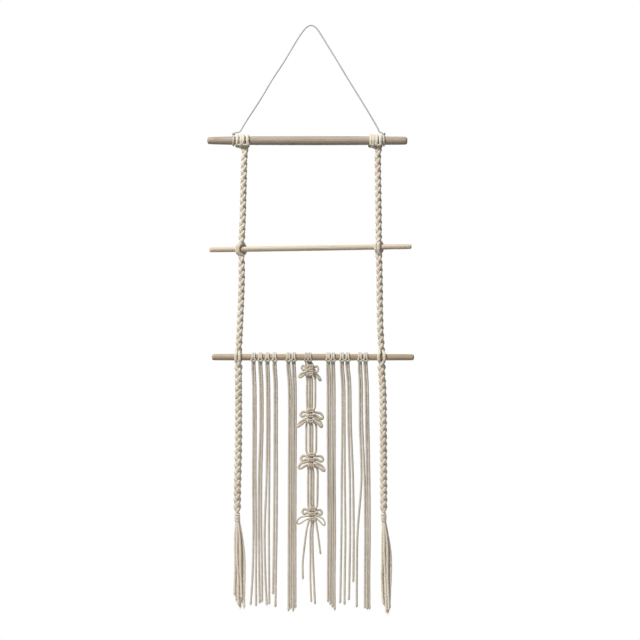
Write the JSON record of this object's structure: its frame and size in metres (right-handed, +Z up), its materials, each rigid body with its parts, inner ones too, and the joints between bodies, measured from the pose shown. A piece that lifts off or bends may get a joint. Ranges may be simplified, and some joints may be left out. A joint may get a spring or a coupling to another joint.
{
  "type": "macrame wall hanging",
  "caption": "Macrame wall hanging: plaited cotton cords join wooden dowels one above another, with a knotted fringe, a centre drop of bows, tassels and a cord to hang it by.",
  "frame": {"origin": "where the nail bears, under the top of the hanging cord", "axes": "+X to the right seen from the front, the front faces -Y, +Z up"},
  "size_m": [0.31, 0.021, 0.8818],
  "materials": {
    "hanger_cord": "thin twisted cotton",
    "left_hanger_tie": "thin twisted cotton",
    "right_hanger_tie": "thin twisted cotton",
    "top_dowel": "dry greyish brown wood",
    "left_outer_lark_head": "soft cotton cord",
    "left_inner_lark_head": "soft cotton cord",
    "right_inner_lark_head": "soft cotton cord",
    "right_outer_lark_head": "soft cotton cord",
    "left_upper_braid": "soft cotton cord",
    "right_upper_braid": "soft cotton cord",
    "left_middle_eye": "soft cotton cord",
    "right_middle_eye": "soft cotton cord",
    "middle_dowel": "pale bare wood",
    "left_lower_braid": "soft cotton cord",
    "right_lower_braid": "soft cotton cord",
    "left_bottom_eye": "soft cotton cord",
    "right_bottom_eye": "soft cotton cord",
    "bottom_dowel": "tan bare wood",
    "left_tail_braid": "soft cotton cord",
    "left_whipping": "soft cotton cord",
    "left_tassel": "soft cotton cord",
    "right_tail_braid": "soft cotton cord",
    "right_whipping": "soft cotton cord",
    "right_tassel": "soft cotton cord",
    "centre_left_lark_head": "soft cotton cord",
    "centre_right_lark_head": "soft cotton cord",
    "picot_bow_1": "soft cotton cord",
    "picot_bow_2": "soft cotton cord",
    "picot_bow_3": "soft cotton cord",
    "picot_bow_4": "soft cotton cord",
    "centre_left_worker_1": "soft cotton cord",
    "centre_fillers_1": "soft cotton cord",
    "centre_right_worker_1": "soft cotton cord",
    "centre_left_worker_2": "soft cotton cord",
    "centre_fillers_2": "soft cotton cord",
    "centre_right_worker_2": "soft cotton cord",
    "centre_left_worker_3": "soft cotton cord",
    "centre_fillers_3": "soft cotton cord",
    "centre_right_worker_3": "soft cotton cord",
    "centre_tail_outer_left": "soft cotton cord",
    "centre_tail_inner_left": "soft cotton cord",
    "centre_tail_inner_right": "soft cotton cord",
    "centre_tail_outer_right": "soft cotton cord",
    "fringe_cord_01": "soft cotton cord",
    "fringe_cord_02": "soft cotton cord",
    "fringe_cord_03": "soft cotton cord",
    "fringe_cord_04": "soft cotton cord",
    "fringe_cord_05": "soft cotton cord",
    "fringe_cord_06": "soft cotton cord",
    "fringe_cord_07": "soft cotton cord",
    "fringe_cord_08": "soft cotton cord",
    "fringe_cord_09": "soft cotton cord",
    "fringe_cord_10": "soft cotton cord",
    "fringe_cord_11": "soft cotton cord",
    "fringe_cord_12": "soft cotton cord"
  },
  "bodies": {
    "hanger": {"hanger_cord": "hanger_cord", "left_hanger_tie": "left_hanger_tie", "right_hanger_tie": "right_hanger_tie"},
    "top_dowel": {"top_dowel": "top_dowel"},
    "upper_panel": {"left_outer_lark_head": "left_outer_lark_head", "left_inner_lark_head": "left_inner_lark_head", "right_inner_lark_head": "right_inner_lark_head", "right_outer_lark_head": "right_outer_lark_head", "left_upper_braid": "left_upper_braid", "right_upper_braid": "right_upper_braid", "left_middle_eye": "left_middle_eye", "right_middle_eye": "right_middle_eye"},
    "middle_dowel": {"middle_dowel": "middle_dowel"},
    "lower_panel": {"left_lower_braid": "left_lower_braid", "right_lower_braid": "right_lower_braid", "left_bottom_eye": "left_bottom_eye", "right_bottom_eye": "right_bottom_eye"},
    "bottom_dowel": {"bottom_dowel": "bottom_dowel"},
    "left_tail": {"left_tail_braid": "left_tail_braid", "left_whipping": "left_whipping", "left_tassel": "left_tassel"},
    "right_tail": {"right_tail_braid": "right_tail_braid", "right_whipping": "right_whipping", "right_tassel": "right_tassel"},
    "centre_drop": {"centre_left_lark_head": "centre_left_lark_head", "centre_right_lark_head": "centre_right_lark_head", "picot_bow_1": "picot_bow_1", "picot_bow_2": "picot_bow_2", "picot_bow_3": "picot_bow_3", "picot_bow_4": "picot_bow_4", "centre_left_worker_1": "centre_left_worker_1", "centre_fillers_1": "centre_fillers_1", "centre_right_worker_1": "centre_right_worker_1", "centre_left_worker_2": "centre_left_worker_2", "centre_fillers_2": "centre_fillers_2", "centre_right_worker_2": "centre_right_worker_2", "centre_left_worker_3": "centre_left_worker_3", "centre_fillers_3": "centre_fillers_3", "centre_right_worker_3": "centre_right_worker_3", "centre_tail_outer_left": "centre_tail_outer_left", "centre_tail_inner_left": "centre_tail_inner_left", "centre_tail_inner_right": "centre_tail_inner_right", "centre_tail_outer_right": "centre_tail_outer_right"},
    "fringe_01": {"fringe_cord_01": "fringe_cord_01"},
    "fringe_02": {"fringe_cord_02": "fringe_cord_02"},
    "fringe_03": {"fringe_cord_03": "fringe_cord_03"},
    "fringe_04": {"fringe_cord_04": "fringe_cord_04"},
    "fringe_05": {"fringe_cord_05": "fringe_cord_05"},
    "fringe_06": {"fringe_cord_06": "fringe_cord_06"},
    "fringe_07": {"fringe_cord_07": "fringe_cord_07"},
    "fringe_08": {"fringe_cord_08": "fringe_cord_08"},
    "fringe_09": {"fringe_cord_09": "fringe_cord_09"},
    "fringe_10": {"fringe_cord_10": "fringe_cord_10"},
    "fringe_11": {"fringe_cord_11": "fringe_cord_11"},
    "fringe_12": {"fringe_cord_12": "fringe_cord_12"}
  },
  "joints": [
    {"name": "top_dowel_turn", "type": "hinge", "parent": "hanger", "child": "top_dowel", "pos_m": [0, 0, -0.172], "axis": [-1, 0, 0], "continuous": true},
    {"name": "upper_panel_swing", "type": "hinge", "parent": "hanger", "child": "upper_panel", "pos_m": [0, 0, -0.172], "axis": [-1, 0, 0], "range_deg": [-45, 45]},
    {"name": "middle_dowel_slide", "type": "slide", "parent": "upper_panel", "child": "middle_dowel", "axis": [0.9999, 0, 0.0166], "range_m": [-0.036, 0.036]},
    {"name": "lower_panel_swing", "type": "hinge", "parent": "upper_panel", "child": "lower_panel", "pos_m": [-0.00075, 0, -0.3333], "axis": [-0.9999, 0, -0.0166], "range_deg": [-45, 45]},
    {"name": "bottom_dowel_turn", "type": "hinge", "parent": "lower_panel", "child": "bottom_dowel", "pos_m": [0, 0, -0.4968], "axis": [-1, 0, 0], "continuous": true},
    {"name": "left_tail_swing", "type": "hinge", "parent": "lower_panel", "child": "left_tail", "pos_m": [0, 0, -0.4968], "axis": [-1, 0, 0], "range_deg": [-60, 60]},
    {"name": "right_tail_swing", "type": "hinge", "parent": "lower_panel", "child": "right_tail", "pos_m": [0, 0, -0.4968], "axis": [-1, 0, 0], "range_deg": [-60, 60]},
    {"name": "centre_drop_swing", "type": "hinge", "parent": "lower_panel", "child": "centre_drop", "pos_m": [0, 0, -0.4968], "axis": [-1, 0, 0], "range_deg": [-60, 60]},
    {"name": "fringe_01_swing", "type": "hinge", "parent": "lower_panel", "child": "fringe_01", "pos_m": [0, 0, -0.4968], "axis": [-1, 0, 0], "range_deg": [-60, 60]},
    {"name": "fringe_02_swing", "type": "hinge", "parent": "lower_panel", "child": "fringe_02", "pos_m": [0, 0, -0.4968], "axis": [-1, 0, 0], "range_deg": [-60, 60]},
    {"name": "fringe_03_swing", "type": "hinge", "parent": "lower_panel", "child": "fringe_03", "pos_m": [0, 0, -0.4968], "axis": [-1, 0, 0], "range_deg": [-60, 60]},
    {"name": "fringe_04_swing", "type": "hinge", "parent": "lower_panel", "child": "fringe_04", "pos_m": [0, 0, -0.4968], "axis": [-1, 0, 0], "range_deg": [-60, 60]},
    {"name": "fringe_05_swing", "type": "hinge", "parent": "lower_panel", "child": "fringe_05", "pos_m": [0, 0, -0.4968], "axis": [-1, 0, 0], "range_deg": [-60, 60]},
    {"name": "fringe_06_swing", "type": "hinge", "parent": "lower_panel", "child": "fringe_06", "pos_m": [0, 0, -0.4968], "axis": [-1, 0, 0], "range_deg": [-60, 60]},
    {"name": "fringe_07_swing", "type": "hinge", "parent": "lower_panel", "child": "fringe_07", "pos_m": [0, 0, -0.4968], "axis": [-1, 0, 0], "range_deg": [-60, 60]},
    {"name": "fringe_08_swing", "type": "hinge", "parent": "lower_panel", "child": "fringe_08", "pos_m": [0, 0, -0.4968], "axis": [-1, 0, 0], "range_deg": [-60, 60]},
    {"name": "fringe_09_swing", "type": "hinge", "parent": "lower_panel", "child": "fringe_09", "pos_m": [0, 0, -0.4968], "axis": [-1, 0, 0], "range_deg": [-60, 60]},
    {"name": "fringe_10_swing", "type": "hinge", "parent": "lower_panel", "child": "fringe_10", "pos_m": [0, 0, -0.4968], "axis": [-1, 0, 0], "range_deg": [-60, 60]},
    {"name": "fringe_11_swing", "type": "hinge", "parent": "lower_panel", "child": "fringe_11", "pos_m": [0, 0, -0.4968], "axis": [-1, 0, 0], "range_deg": [-60, 60]},
    {"name": "fringe_12_swing", "type": "hinge", "parent": "lower_panel", "child": "fringe_12", "pos_m": [0, 0, -0.4968], "axis": [-1, 0, 0], "range_deg": [-60, 60]}
  ]
}
